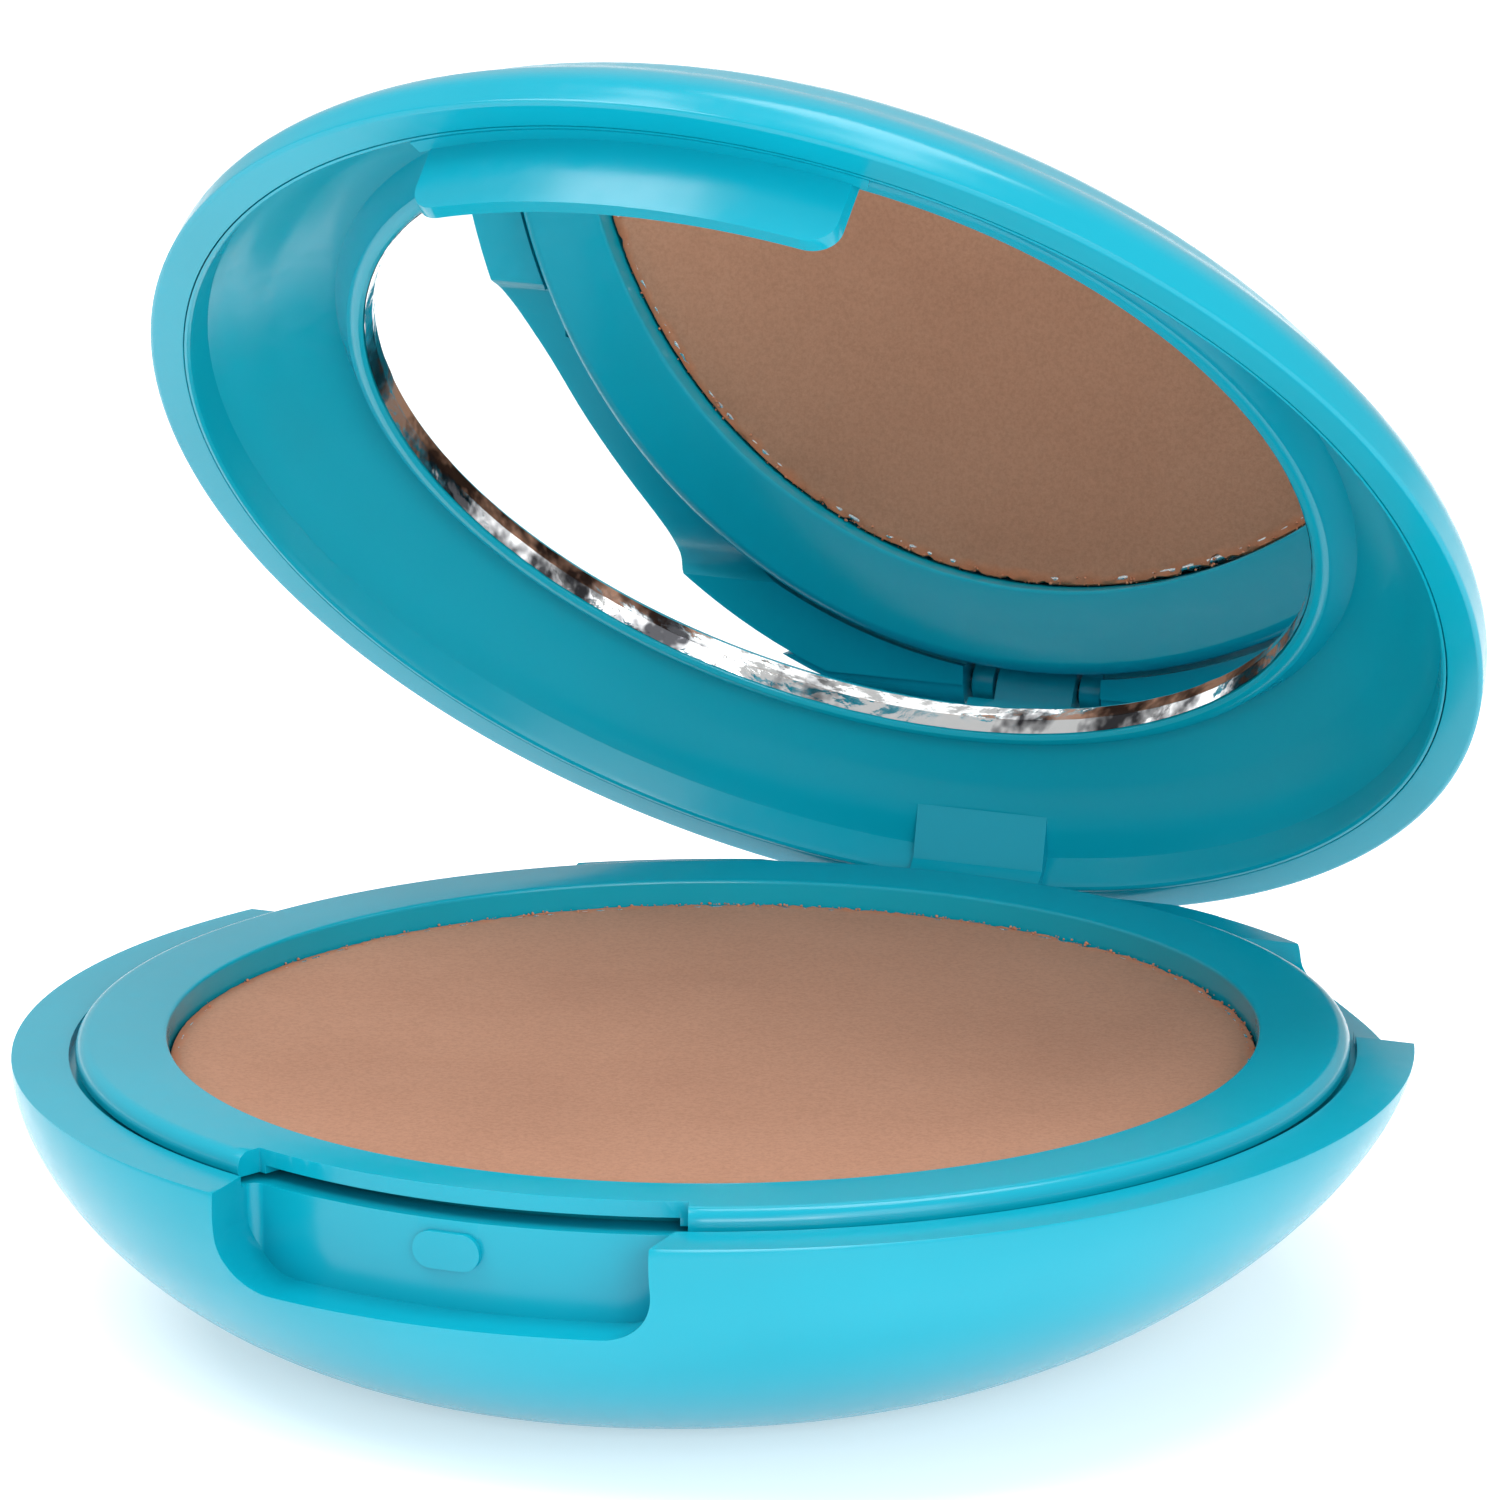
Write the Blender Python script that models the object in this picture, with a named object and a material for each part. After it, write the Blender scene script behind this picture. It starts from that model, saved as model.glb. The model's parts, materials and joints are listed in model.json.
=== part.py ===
"""Round powder compact: a deep base with a sponge well, a lift-up tray that holds the pressed powder,
and a domed lid with a mirror. Lid and tray turn on one steel pin at the back.

Units are metres. +Z is up, -Y is the front (catch side), +Y is the hinge side.
The origin is on the flat foot of the base, under the centre of the rim.
Profiles are given in millimetres from the parting plane, the top of the base's rim."""

import math

import bmesh
import bpy
from mathutils import Matrix, Vector

MM = 0.001
SEG = 48  # facets round each turned piece

# ---- base ----
R_RIM = 38.0  # outer radius of the rim
BASE_DEPTH = 14.3  # parting plane to the foot
FOOT_R = 17.8
BOWL_POWER = 1.556
FOOT_SHIFT = -4.73  # the bowl is fuller at the front, so its foot sits forward
WALL = 1.6
SEAT_R = 34.9  # counterbore that the tray's flange drops into
SEAT_Z = -0.6
WELL_R = 31.2
WELL_FLOOR = -12.7

RECESS_R = 33.63  # back wall of the front recess
RECESS_HALF = 12.4
RECESS_FLOOR = -5.36
RECESS_CORNER = 3.0
RECESS_FILLET = 0.6
PIP_Z = -2.2
PIP_HALF_W, PIP_HALF_H, PIP_OUT = 1.9, 1.0, 0.30

SCOOP_Y0, SCOOP_Y1, SCOOP_DEPTH = 14.55, 30.9, 1.75

# ---- hinge ----
HINGE_Y, HINGE_Z = 35.76, -2.04
BARREL_R = 1.9
BOSS_HALF, BOSS_R = 18.6, 38.4
NOTCH_HALF, NOTCH_FLOOR = 4.3, -4.7
PIN_R, PIN_HALF, BORE_R = 0.6, 7.6, 0.8
KNUCKLE_HALF, KNUCKLE_BARREL_HALF, KNUCKLE_R = 4.0, 2.4, 1.44
EAR_IN, EAR_OUT, EAR_R = 2.7, 4.0, 1.35
LID_OPEN = 47.4  # degrees from closed, as it stands

# ---- tray, pan and powder ----
TRAY_R, TRAY_TOP, TRAY_UNDER = 34.53, 1.03, -0.3
TRAY_HOLE_R, TRAY_FLOOR, TRAY_BOTTOM, TRAY_BODY_R = 29.55, -3.95, -4.75, 30.8
SLOT_HALF_DEG, SLOT_R, SLOT_Z = 21.8, 33.0, 0.15
PAN_R, PAN_RIM, PAN_BOTTOM, PAN_WALL = 29.25, -0.48, -3.7, 0.4
CAKE_R, CAKE_TOP = 28.75, -0.5

# ---- sponge ----
SPONGE_R, SPONGE_T, SPONGE_Z = 21.0, 3.3, -12.5

# ---- lid (closed position) ----
GAP = 0.25  # lid rim above base rim when closed
LID_R, LID_WALL, LID_RIM_IN = 38.08, 1.0, 36.4
DOME = [(0, 12.2), (11.4, 11.9), (19, 11.25), (24.7, 10.2), (28.0, 9.2), (30.4, 8.2), (33.4, 6.3),
        (35.3, 4.6), (36.3, 3.8), (37.1, 3.04), (37.85, 1.9), (38.02, 0.8), (38.08, 0.0)]
FRAME_R, FRAME_T = 36.05, 0.85
MIRROR_R, MIRROR_FRONT, MIRROR_T = 27.0, 4.95, 2.0
BEAD_IN, BEAD_OUT, BEAD_Z = 27.25, 28.3, 4.55
FLAP_IN, FLAP_OUT, FLAP_HALF, FLAP_BOTTOM, FLAP_CORNER = 34.06, 34.96, 12.1, -4.07, 1.7


def material(name, colour, roughness, metallic=0.0, coat=0.0):
    m = bpy.data.materials.new(name)
    m.use_nodes = True
    b = m.node_tree.nodes["Principled BSDF"]
    b.inputs["Base Color"].default_value = (*colour, 1)
    b.inputs["Roughness"].default_value = roughness
    b.inputs["Metallic"].default_value = metallic
    b.inputs["Coat Weight"].default_value = coat
    m.diffuse_color = (*colour, 1)
    return m


def clear():
    for obj in list(bpy.data.objects):
        bpy.data.objects.remove(obj, do_unlink=True)


def finish(name, bm, mat=None, helper=False):
    """Turns a bmesh in millimetres into an object in metres, with its faces pointing out."""
    bmesh.ops.remove_doubles(bm, verts=bm.verts, dist=1e-5)
    bmesh.ops.recalc_face_normals(bm, faces=bm.faces)
    bmesh.ops.scale(bm, vec=(MM, MM, MM), verts=bm.verts)
    mesh = bpy.data.meshes.new(name)
    bm.to_mesh(mesh)
    bm.free()
    obj = bpy.data.objects.new(name, mesh)
    bpy.context.scene.collection.objects.link(obj)
    if mat:
        mesh.materials.append(mat)
    if helper:
        obj.hide_render = True
        obj.display_type = "WIRE"
    else:
        mesh.shade_smooth()
        mesh.set_sharp_from_angle(angle=math.radians(32))
    return obj


def loft(rings, seg=SEG):
    """A closed body from a closed loop of rings (radius, z, y shift). A ring of radius 0 is one point."""
    bm = bmesh.new()
    loops = []
    for r, z, s in rings:
        if r <= 0:
            loops.append([bm.verts.new((0, s, z))])
            continue
        loops.append([
            bm.verts.new((r * math.cos(2 * math.pi * (k + 0.5) / seg), s + r * math.sin(2 * math.pi * (k + 0.5) / seg), z))
            for k in range(seg)
        ])
    for a, b in zip(loops, loops[1:] + loops[:1]):
        if len(a) == 1 and len(b) == 1:
            continue
        for k in range(seg):
            j = (k + 1) % seg
            if len(a) == 1:
                bm.faces.new((a[0], b[k], b[j]))
            elif len(b) == 1:
                bm.faces.new((a[k], b[0], a[j]))
            else:
                bm.faces.new((a[k], b[k], b[j], a[j]))
    return bm


def turned(profile, seg=SEG):
    return loft([(r, z, 0.0) for r, z in profile], seg)


def prism(points, axis, low, high):
    """Extrudes a polygon. axis X takes (y, z) points, axis Y takes (x, z), axis Z takes (x, y)."""
    place = {"X": lambda a, b, c: (c, a, b), "Y": lambda a, b, c: (a, c, b), "Z": lambda a, b, c: (a, b, c)}[axis]
    bm = bmesh.new()
    verts = [bm.verts.new(place(a, b, low)) for a, b in points]
    face = bm.faces.new(verts)
    top = bmesh.ops.extrude_face_region(bm, geom=[face])
    moved = [v for v in top["geom"] if isinstance(v, bmesh.types.BMVert)]
    bmesh.ops.translate(bm, vec=place(0, 0, high - low), verts=moved)
    return bm


def arc(cx, cy, r, start, end, steps):
    return [(cx + r * math.cos(math.radians(start + (end - start) * k / steps)),
             cy + r * math.sin(math.radians(start + (end - start) * k / steps))) for k in range(steps + 1)]


def rod(radius, x0, x1, y, z, seg=20):
    return prism(arc(y, z, radius, 0, 360 - 360 / seg, seg - 1), "X", x0, x1)


def combine(obj, other, how):
    """Adds an exact Boolean and keeps the other object as a hidden tool."""
    other.hide_render = True
    other.display_type = "WIRE"
    mod = obj.modifiers.new(how.lower() + "_" + other.name, "BOOLEAN")
    mod.operation = how
    mod.object = other
    mod.solver = "EXACT"
    return obj


def bowl(z):
    """Outer radius and forward shift of the bowl at height z."""
    w = min(max(-z / BASE_DEPTH, 0.0), 1.0)
    s = w ** (BOWL_POWER / 2)
    c = math.sqrt(max(1 - s * s, 0.0))
    return FOOT_R + (R_RIM - FOOT_R) * c ** (2 / BOWL_POWER), FOOT_SHIFT * w


def dome_offset(distance):
    """The dome's profile moved inward by a distance along its normals."""
    out = []
    for k, (r, z) in enumerate(DOME):
        a, b = DOME[max(k - 1, 0)], DOME[min(k + 1, len(DOME) - 1)]
        tr, tz = b[0] - a[0], b[1] - a[1]
        length = math.hypot(tr, tz)
        nr, nz = -tz / length, tr / length  # outward and up
        if k == 0:
            nr, nz = 0.0, 1.0
        if k == len(DOME) - 1:
            nr, nz = 1.0, 0.0
        out.append((r - nr * distance, z - nz * distance + GAP))
    return out


clear()
TEAL = material("teal_plastic", (0.02, 0.42, 0.52), 0.16, coat=0.3)
STEEL = material("pin_steel", (0.6, 0.6, 0.62), 0.25, 1.0)
ALU = material("pan_aluminium", (0.78, 0.78, 0.80), 0.3, 1.0)
POWDER = material("pressed_powder", (0.47, 0.26, 0.17), 0.9)
GLASS = material("mirror_glass", (0.9, 0.9, 0.92), 0.03, 1.0)
GLUE = material("adhesive", (0.85, 0.83, 0.75), 0.6)
FOAM = material("sponge_foam", (0.86, 0.72, 0.58), 0.95)

pivot = bpy.data.objects.new("hinge_axis", None)
bpy.context.scene.collection.objects.link(pivot)
pivot.location = (0, HINGE_Y * MM, (HINGE_Z + BASE_DEPTH) * MM)
lid_pivot = bpy.data.objects.new("lid_axis", None)
bpy.context.scene.collection.objects.link(lid_pivot)
lid_pivot.parent = pivot
lid_pivot.rotation_euler = (-math.radians(LID_OPEN), 0, 0)


def on_base(obj):
    obj.location.z = BASE_DEPTH * MM
    return obj


def on_pivot(obj, parent):
    """Gives the piece its origin on the hinge axis, so that turning it turns it about the pin."""
    obj.data.transform(Matrix.Translation(Vector((0, -HINGE_Y * MM, -HINGE_Z * MM))))
    obj.parent = parent
    return obj


# ================= base =================
levels = [-BASE_DEPTH, -13.95, -13.0, -11.6, -10.0, -8.3, -6.6, -5.0, -3.6, -2.3, -1.2, -0.45, 0.0]
outer = [(*bowl(z), z) for z in levels]
rings = [(0, -BASE_DEPTH, FOOT_SHIFT)] + [(r, z, s) for r, s, z in outer]
rings += [(SEAT_R, 0, 0), (SEAT_R, SEAT_Z, 0), (WELL_R, SEAT_Z, 0), (WELL_R, -5.0, 0)]
for z in (-7.2, -9.4, -11.2):
    r, s = bowl(z)
    rings.append((min(r - 2.0, WELL_R - 0.6), z, s))
r, s = bowl(WELL_FLOOR)
rings += [(r - 2.4, WELL_FLOOR, s), (0, WELL_FLOOR, s)]
base = on_base(finish("base_shell", loft(rings), TEAL))

boss_profile = [(35.0, HINGE_Z + BARREL_R)] + arc(HINGE_Y, HINGE_Z, BARREL_R, 90, -50, 9)
boss_profile += [(35.4, -4.55), (33.5, -5.6), (31.8, -6.3), (31.7, -3.2), (35.0, -2.4)]
boss = on_base(finish("boss_tool", prism(boss_profile, "X", -BOSS_HALF, BOSS_HALF), helper=True))
boss_trim = on_base(finish("boss_trim", turned([(0, 2), (BOSS_R, 2), (BOSS_R, -3.6), (36.6, -5.0), (33.4, -7.4), (0, -7.4)], 96), helper=True))
combine(boss, boss_trim, "INTERSECT")
combine(base, boss, "UNION")

relief = [(HINGE_Y, 1.5)] + arc(HINGE_Y, HINGE_Z, BARREL_R, 90, 0, 8) + [(41, HINGE_Z), (41, 1.5)]
combine(base, on_base(finish("rear_relief", prism(relief, "X", -14.2, 14.2), helper=True)), "DIFFERENCE")

notch = [(30.0, 2), (30.0, -3.7), (33.6, NOTCH_FLOOR), (41, NOTCH_FLOOR), (41, 2)]
combine(base, on_base(finish("notch_tool", prism(notch, "X", -NOTCH_HALF, NOTCH_HALF), helper=True)), "DIFFERENCE")
combine(base, on_base(finish("pin_bore", rod(BORE_R, -PIN_HALF - 0.3, 21, HINGE_Y, HINGE_Z), helper=True)), "DIFFERENCE")

scoop_profile = [(SCOOP_Y0, 2), (SCOOP_Y0, 0.0), (15.1, -0.6), (16.6, -1.25), (19.2, -SCOOP_DEPTH), (25.5, -SCOOP_DEPTH),
                 (28.2, -1.5), (29.8, -0.95), (SCOOP_Y1, 0.05), (SCOOP_Y1, 2)]
keep = on_base(finish("scoop_keep", turned([(0, 4), (SEAT_R, 4), (SEAT_R, -6), (0, -6)], 96), helper=True))
for side in (-1, 1):
    tool = on_base(finish(f"scoop_{'left' if side < 0 else 'right'}",
                          prism(scoop_profile, "X", min(side * 12, side * 45), max(side * 12, side * 45)), helper=True))
    combine(tool, keep, "DIFFERENCE")
    combine(base, tool, "DIFFERENCE")

# each inner corner of the recess is a fillet that touches the curved back wall and the straight side
fillet_x = RECESS_HALF - RECESS_FILLET
fillet_y = -math.sqrt((RECESS_R + RECESS_FILLET) ** 2 - fillet_x ** 2)
half = math.degrees(math.asin(fillet_x / (RECESS_R + RECESS_FILLET)))
right_fillet = arc(fillet_x, fillet_y, RECESS_FILLET, 90 + half, 0, 6)[1:]
plan = arc(0, 0, RECESS_R, -90 - half, -90 + half, 14) + right_fillet
plan += [(RECESS_HALF, -46), (-RECESS_HALF, -46)] + [(-x, y) for x, y in right_fillet[::-1]]
recess = on_base(finish("recess_tool", prism(plan, "Z", RECESS_FLOOR, 3), helper=True))
face = arc(-RECESS_HALF + RECESS_CORNER, RECESS_FLOOR + RECESS_CORNER, RECESS_CORNER, 180, 270, 6)
face += arc(RECESS_HALF - RECESS_CORNER, RECESS_FLOOR + RECESS_CORNER, RECESS_CORNER, -90, 0, 6)
face += [(RECESS_HALF + 0.01, 4), (-RECESS_HALF - 0.01, 4)]
combine(recess, on_base(finish("recess_face", prism(face, "Y", -50, -20), helper=True)), "INTERSECT")
combine(base, recess, "DIFFERENCE")

pip = arc(-PIP_HALF_W + PIP_HALF_H, PIP_Z, PIP_HALF_H, 90, 270, 6) + arc(PIP_HALF_W - PIP_HALF_H, PIP_Z, PIP_HALF_H, -90, 90, 6)
combine(base, on_base(finish("pip_tool", prism(pip, "Y", -(RECESS_R + PIP_OUT), -32.4), helper=True)), "UNION")

pin = on_base(finish("hinge_pin", rod(PIN_R, -PIN_HALF, PIN_HALF, HINGE_Y, HINGE_Z), STEEL))

# ================= sponge =================
_, s = bowl(-11.0)
sponge_rings = [(0, SPONGE_Z), (SPONGE_R - 0.7, SPONGE_Z), (SPONGE_R, SPONGE_Z + 0.8), (SPONGE_R, SPONGE_Z + SPONGE_T - 0.8),
                (SPONGE_R - 0.7, SPONGE_Z + SPONGE_T), (0, SPONGE_Z + SPONGE_T)]
sponge = on_base(finish("sponge", loft([(r, z, s) for r, z in sponge_rings], 40), FOAM))

# ================= tray =================
tray_profile = [(0, TRAY_FLOOR), (TRAY_HOLE_R, TRAY_FLOOR), (TRAY_HOLE_R, TRAY_TOP - 0.15), (TRAY_HOLE_R + 0.15, TRAY_TOP),
                (33.75, TRAY_TOP), (34.25, 0.86), (34.47, 0.5), (TRAY_R, 0.1), (TRAY_R, TRAY_UNDER + 0.2), (TRAY_R - 0.2, TRAY_UNDER),
                (TRAY_BODY_R, TRAY_UNDER), (TRAY_BODY_R, TRAY_BOTTOM + 0.3), (TRAY_BODY_R - 0.3, TRAY_BOTTOM), (0, TRAY_BOTTOM)]
tray = on_pivot(finish("powder_tray", turned(tray_profile), TEAL), pivot)


def sector(r0, r1, half_deg, z0, z1, steps=16):
    points = arc(0, 0, r0, -90 - half_deg, -90 + half_deg, steps) + arc(0, 0, r1, -90 + half_deg, -90 - half_deg, steps)
    return prism(points, "Z", z0, z1)


for name, tool in (("slot_edge", sector(SLOT_R, 40, SLOT_HALF_DEG, -2, 3)), ("slot_under", sector(31.6, 40, SLOT_HALF_DEG - 0.8, -2, SLOT_Z))):
    combine(tray, on_pivot(finish(name, tool, helper=True), pivot), "DIFFERENCE")
for side in (-1, 1):
    x0, x1 = sorted((side * EAR_IN, side * EAR_OUT))
    ear = [(30.2, -1.2)] + [(HINGE_Y + EAR_R * math.sin(math.radians(a)), HINGE_Z + EAR_R * math.cos(math.radians(a))) for a in range(-50, 200, 20)]
    ear += [(33.2, -3.3), (30.2, -3.6)]
    name = "left" if side < 0 else "right"
    combine(tray, on_pivot(finish("ear_" + name, prism(ear, "X", x0, x1), helper=True), pivot), "UNION")
combine(tray, on_pivot(finish("ear_bore", rod(BORE_R, -6, 6, HINGE_Y, HINGE_Z), helper=True), pivot), "DIFFERENCE")

glue = on_pivot(finish("pan_adhesive", turned([(0, -3.78), (22, -3.78), (22, -3.87), (0, -3.87)], 40), GLUE), pivot)
pan = on_pivot(finish("pan", turned([(0, PAN_BOTTOM), (PAN_R - 0.4, PAN_BOTTOM), (PAN_R, PAN_BOTTOM + 0.4), (PAN_R, PAN_RIM),
                                     (PAN_R - PAN_WALL, PAN_RIM), (PAN_R - PAN_WALL, PAN_BOTTOM + PAN_WALL), (0, PAN_BOTTOM + PAN_WALL)]), ALU), pivot)
cake_low = PAN_BOTTOM + PAN_WALL + 0.05
cake = on_pivot(finish("powder_cake", turned([(0, CAKE_TOP + 0.12), (CAKE_R - 6, CAKE_TOP + 0.1), (CAKE_R - 0.3, CAKE_TOP), (CAKE_R, CAKE_TOP - 0.25),
                                              (CAKE_R, cake_low), (0, cake_low)]), POWDER), pivot)

# ================= lid =================
outer = [(r, z + GAP) for r, z in DOME]
inner = [p for p in dome_offset(LID_WALL) if p[1] > 2.2 + GAP or p[0] < 30]
shell_profile = outer + [(LID_RIM_IN, GAP), (LID_RIM_IN, inner[-1][1] * 0.55)] + inner[::-1]
lid_shell = on_pivot(finish("lid_shell", turned(shell_profile), TEAL), lid_pivot)

back = [p for p in dome_offset(LID_WALL + 0.35) if 28.2 < p[0] < 35.4 and p[1] > 1.6]
front = [p for p in dome_offset(LID_WALL + 0.35 + FRAME_T) if 29.2 < p[0] < 35.3 and p[1] > 1.2]
seat = MIRROR_FRONT + GAP + MIRROR_T + 0.45
frame_profile = [(0, seat), (BEAD_IN, seat), (BEAD_IN, MIRROR_FRONT + GAP - 0.2), (BEAD_IN + 0.15, BEAD_Z + GAP), (BEAD_OUT - 0.35, BEAD_Z + GAP), (BEAD_OUT, BEAD_Z + GAP + 0.35)]
frame_profile += front + [(FRAME_R - 0.35, GAP + 0.35), (FRAME_R - 0.15, GAP), (FRAME_R, GAP), (FRAME_R, 1.5)]
frame_profile += back[::-1] + [(27.6, seat + 0.62), (25.5, seat + 0.8), (0, seat + 0.8)]
frame = on_pivot(finish("lid_frame", turned(frame_profile), TEAL), lid_pivot)

flap_half = math.degrees(math.asin(FLAP_HALF / FLAP_OUT))
flap = on_pivot(finish("flap_tool", sector(FLAP_IN, FLAP_OUT, flap_half + 4, FLAP_BOTTOM + GAP, 2.45), helper=True), lid_pivot)
low = FLAP_BOTTOM + GAP
shape = arc(-FLAP_HALF + FLAP_CORNER, low + FLAP_CORNER, FLAP_CORNER, 180, 270, 5) + arc(FLAP_HALF - FLAP_CORNER, low + FLAP_CORNER, FLAP_CORNER, -90, 0, 5)
shape = [(a, b - 0.001) for a, b in shape] + [(FLAP_HALF, 4), (-FLAP_HALF, 4)]
combine(flap, on_pivot(finish("flap_face", prism(shape, "Y", -40, -28), helper=True), lid_pivot), "INTERSECT")
combine(frame, flap, "UNION")
root = on_pivot(finish("flap_root", sector(34.9, 35.75, math.degrees(math.asin(13.0 / 35.3)), GAP + 0.02, 1.9), helper=True), lid_pivot)
combine(frame, root, "UNION")

arm = [(33.2, 3.55), (34.95, 0.95), (34.95, -0.35), (37.2, -0.35), (37.2, 0.0), (36.03, 0.1), (36.03, 1.45), (34.3, 3.6)]
combine(frame, on_pivot(finish("knuckle_arm", prism(arm, "X", -KNUCKLE_HALF, KNUCKLE_HALF), helper=True), lid_pivot), "UNION")
barrel = [(34.97, -0.3), (37.18, -0.3)] + arc(HINGE_Y, HINGE_Z, KNUCKLE_R, 0, -180, 10) + [(34.6, -1.1)]
combine(frame, on_pivot(finish("knuckle_barrel", prism(barrel, "X", -KNUCKLE_BARREL_HALF, KNUCKLE_BARREL_HALF), helper=True), lid_pivot), "UNION")
combine(frame, on_pivot(finish("knuckle_bore", rod(BORE_R, -6, 6, HINGE_Y, HINGE_Z), helper=True), lid_pivot), "DIFFERENCE")

mf = MIRROR_FRONT + GAP
mirror = on_pivot(finish("mirror", turned([(0, mf), (MIRROR_R - 0.3, mf), (MIRROR_R, mf + 0.3), (MIRROR_R, mf + MIRROR_T), (0, mf + MIRROR_T)]), GLASS), lid_pivot)
pad = on_pivot(finish("mirror_adhesive", turned([(0, mf + MIRROR_T + 0.1), (22, mf + MIRROR_T + 0.1), (22, mf + MIRROR_T + 0.35), (0, mf + MIRROR_T + 0.35)], 40), GLUE), lid_pivot)
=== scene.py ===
import json
import math
import random

import bmesh
import bpy
import numpy as np
from mathutils import Matrix, Vector, noise

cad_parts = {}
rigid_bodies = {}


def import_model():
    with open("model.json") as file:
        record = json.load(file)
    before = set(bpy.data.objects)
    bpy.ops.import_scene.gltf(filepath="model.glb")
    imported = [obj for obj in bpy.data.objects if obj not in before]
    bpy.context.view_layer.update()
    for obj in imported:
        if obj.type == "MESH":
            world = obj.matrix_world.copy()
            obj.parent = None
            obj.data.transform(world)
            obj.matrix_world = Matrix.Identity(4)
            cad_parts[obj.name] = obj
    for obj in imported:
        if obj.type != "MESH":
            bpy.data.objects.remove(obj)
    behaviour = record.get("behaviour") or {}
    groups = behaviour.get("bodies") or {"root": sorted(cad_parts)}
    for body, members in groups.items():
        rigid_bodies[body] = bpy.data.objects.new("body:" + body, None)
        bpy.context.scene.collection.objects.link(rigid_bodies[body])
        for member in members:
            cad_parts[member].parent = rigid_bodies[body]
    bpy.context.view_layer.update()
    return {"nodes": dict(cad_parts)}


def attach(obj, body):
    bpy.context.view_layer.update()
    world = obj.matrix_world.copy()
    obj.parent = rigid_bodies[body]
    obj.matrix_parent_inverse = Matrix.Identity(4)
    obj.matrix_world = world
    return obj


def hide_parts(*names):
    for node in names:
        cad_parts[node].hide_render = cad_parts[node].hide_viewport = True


for old in list(bpy.data.objects):
    bpy.data.objects.remove(old, do_unlink=True)
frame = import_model()


SEG = 192
ZP = 14.3  # parting plane above the foot, in millimetres
HINGE_Y, HINGE_Z = 35.76, -2.04
LID_OPEN = math.radians(47.4)
GAP = 0.25

PLACE_BASE = Matrix.Scale(0.001, 4) @ Matrix.Translation((0, 0, ZP))
PLACE_LID = (PLACE_BASE @ Matrix.Translation((0, HINGE_Y, HINGE_Z)) @ Matrix.Rotation(-LID_OPEN, 4, "X")
             @ Matrix.Translation((0, -HINGE_Y, -HINGE_Z)))


# ---------------------------------------------------------------- materials
def nodes_for(name):
    m = bpy.data.materials.new(name)
    m.use_nodes = True
    nt = m.node_tree
    return m, nt, nt.nodes["Principled BSDF"], nt.nodes.new


def coords(nt):
    return nt.nodes.new("ShaderNodeTexCoord").outputs["Object"]


def noise_tex(nt, scale, detail=2.0, rough=0.5, vec=None):
    n = nt.nodes.new("ShaderNodeTexNoise")
    n.inputs["Scale"].default_value = scale
    n.inputs["Detail"].default_value = detail
    n.inputs["Roughness"].default_value = rough
    nt.links.new(vec if vec else coords(nt), n.inputs["Vector"])
    return n.outputs["Fac"]


def ramp(nt, fac, stops):
    r = nt.nodes.new("ShaderNodeValToRGB")
    e = r.color_ramp.elements
    while len(e) < len(stops):
        e.new(0.5)
    for el, (p, c) in zip(e, stops):
        el.position = p
        el.color = (*c, 1) if len(c) == 3 else c
    nt.links.new(fac, r.inputs["Fac"])
    return r.outputs["Color"]


def remap(nt, fac, lo, hi, a=0.0, b=1.0):
    n = nt.nodes.new("ShaderNodeMapRange")
    for k, v in (("From Min", a), ("From Max", b), ("To Min", lo), ("To Max", hi)):
        n.inputs[k].default_value = v
    nt.links.new(fac, n.inputs["Value"])
    return n.outputs["Result"]


def bump(nt, bsdf, height, distance, strength=1.0, into=None):
    b = nt.nodes.new("ShaderNodeBump")
    b.inputs["Distance"].default_value = distance
    b.inputs["Strength"].default_value = strength
    nt.links.new(height, b.inputs["Height"])
    if into:
        nt.links.new(into, b.inputs["Normal"])
    nt.links.new(b.outputs["Normal"], bsdf.inputs["Normal"])
    return b.outputs["Normal"]


def teal_plastic(name, rough=0.20, tint=1.0):
    m, nt, b, _ = nodes_for(name)
    base = (0.001 * tint, 0.325 * tint, 0.44 * tint)
    dark = tuple(v * 0.93 for v in base)
    light = tuple(min(v * 1.05, 1) for v in base)
    col = ramp(nt, noise_tex(nt, 45, 3), [(0.3, dark), (0.55, base), (0.8, light)])
    nt.links.new(col, b.inputs["Base Color"])
    fine = noise_tex(nt, 900, 3, 0.6)
    nt.links.new(remap(nt, fine, rough - 0.03, rough + 0.05, 0.3, 0.7), b.inputs["Roughness"])
    n1 = bump(nt, b, noise_tex(nt, 160, 2), 0.00002, 0.25)
    bump(nt, b, fine, 0.000008, 0.35, n1)
    b.inputs["IOR"].default_value = 1.46
    b.inputs["Specular IOR Level"].default_value = 0.42
    b.inputs["Subsurface Weight"].default_value = 0.06
    b.inputs["Subsurface Scale"].default_value = 0.0015
    b.inputs["Subsurface Radius"].default_value = (0.2, 0.9, 1.0)
    return m


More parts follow.
